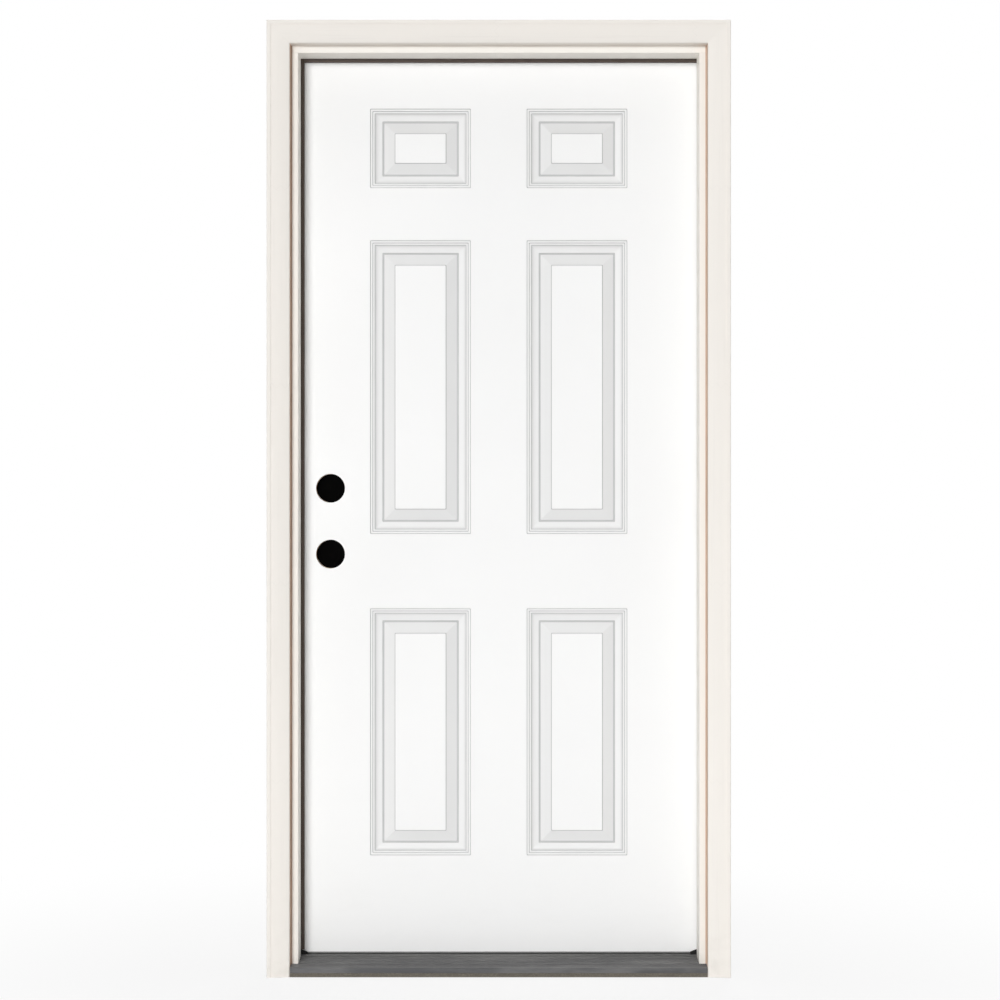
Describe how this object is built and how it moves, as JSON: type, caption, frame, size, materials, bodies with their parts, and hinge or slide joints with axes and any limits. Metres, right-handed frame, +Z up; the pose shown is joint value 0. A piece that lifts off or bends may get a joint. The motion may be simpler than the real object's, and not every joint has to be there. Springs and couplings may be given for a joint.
{
  "type": "prehung entry door",
  "caption": "Panelled steel entry door hung in a primed timber frame with casing, weatherstrips, adjustable sill, butt hinges and bored for a lock and deadbolt",
  "frame": {"origin": "foot of the frame, midway between the jambs, in the plane where the casing meets the wall", "axes": "+X to the right seen from outside, +Y into the house, +Z up"},
  "size_m": [1.0236, 0.1669, 2.1118],
  "materials": {
    "primed_timber": "matt warm-white primer on timber",
    "brown_seal": "matt dark brown vinyl",
    "black_foam": "matt black closed-cell foam",
    "sill_composite": "matt olive-brown composite",
    "sill_aluminium": "dark mill-finish extrusion",
    "zinc_screw": "zinc plated",
    "hinge_brass": "satin plated",
    "white_steel": "smooth white primer on steel",
    "bare_timber": "bare softwood",
    "foam": "rigid insulating foam",
    "grey_seal": "matt grey vinyl",
    "cap_plastic": "grey composite cap"
  },
  "bodies": {
    "frame": {"lock_jamb": "primed_timber", "hinge_jamb": "primed_timber", "head_jamb": "primed_timber", "lock_casing": "primed_timber", "hinge_casing": "primed_timber", "head_casing": "primed_timber", "lock_weatherstrip": "brown_seal", "hinge_weatherstrip": "brown_seal", "head_weatherstrip": "brown_seal", "lock_corner_pad": "black_foam", "hinge_corner_pad": "black_foam", "sill_base": "sill_composite", "sill_deck": "sill_aluminium", "sill_screws": "zinc_screw", "head_screws": "zinc_screw", "bottom_jamb_leaf": "hinge_brass", "middle_jamb_leaf": "hinge_brass", "top_jamb_leaf": "hinge_brass", "bottom_pin": "hinge_brass", "middle_pin": "hinge_brass", "top_pin": "hinge_brass", "jamb_leaf_screws": "hinge_brass"},
    "door": {"exterior_skin": "white_steel", "interior_skin": "white_steel", "lock_stile": "bare_timber", "hinge_stile": "bare_timber", "top_rail": "bare_timber", "bottom_rail": "sill_composite", "lock_block": "bare_timber", "foam_core": "foam", "door_sweep": "grey_seal", "bottom_door_leaf": "hinge_brass", "middle_door_leaf": "hinge_brass", "top_door_leaf": "hinge_brass", "door_leaf_screws": "hinge_brass"},
    "threshold": {"threshold_cap": "cap_plastic"},
    "adjuster_1": {"adjuster_1": "zinc_screw"},
    "adjuster_2": {"adjuster_2": "zinc_screw"},
    "adjuster_3": {"adjuster_3": "zinc_screw"},
    "adjuster_4": {"adjuster_4": "zinc_screw"}
  },
  "joints": [
    {"name": "door_swing", "type": "hinge", "parent": "frame", "child": "door", "pos_m": [0.4556, 0.1286, 1], "axis": [0, 0, -1], "range_deg": [0, 180]},
    {"name": "threshold_height", "type": "slide", "parent": "frame", "child": "threshold", "axis": [0, 0, 1], "range_m": [-0.004, 0]},
    {"name": "adjuster_1_turn", "type": "hinge", "parent": "threshold", "child": "adjuster_1", "pos_m": [-0.3405, 0.0888, 0.03], "axis": [0, 0, 1], "range_deg": [-1160, 1]},
    {"name": "adjuster_2_turn", "type": "hinge", "parent": "threshold", "child": "adjuster_2", "pos_m": [-0.1135, 0.0888, 0.03], "axis": [0, 0, 1], "range_deg": [-1160, 1]},
    {"name": "adjuster_3_turn", "type": "hinge", "parent": "threshold", "child": "adjuster_3", "pos_m": [0.1135, 0.0888, 0.03], "axis": [0, 0, 1], "range_deg": [-1160, 1]},
    {"name": "adjuster_4_turn", "type": "hinge", "parent": "threshold", "child": "adjuster_4", "pos_m": [0.3405, 0.0888, 0.03], "axis": [0, 0, 1], "range_deg": [-1160, 1]}
  ],
  "couplings": [
    {"joint": "adjuster_1_turn", "follows": "threshold_height", "rad_per_m": 5026.5},
    {"joint": "adjuster_2_turn", "follows": "threshold_height", "rad_per_m": 5026.5},
    {"joint": "adjuster_3_turn", "follows": "threshold_height", "rad_per_m": 5026.5},
    {"joint": "adjuster_4_turn", "follows": "threshold_height", "rad_per_m": 5026.5}
  ]
}
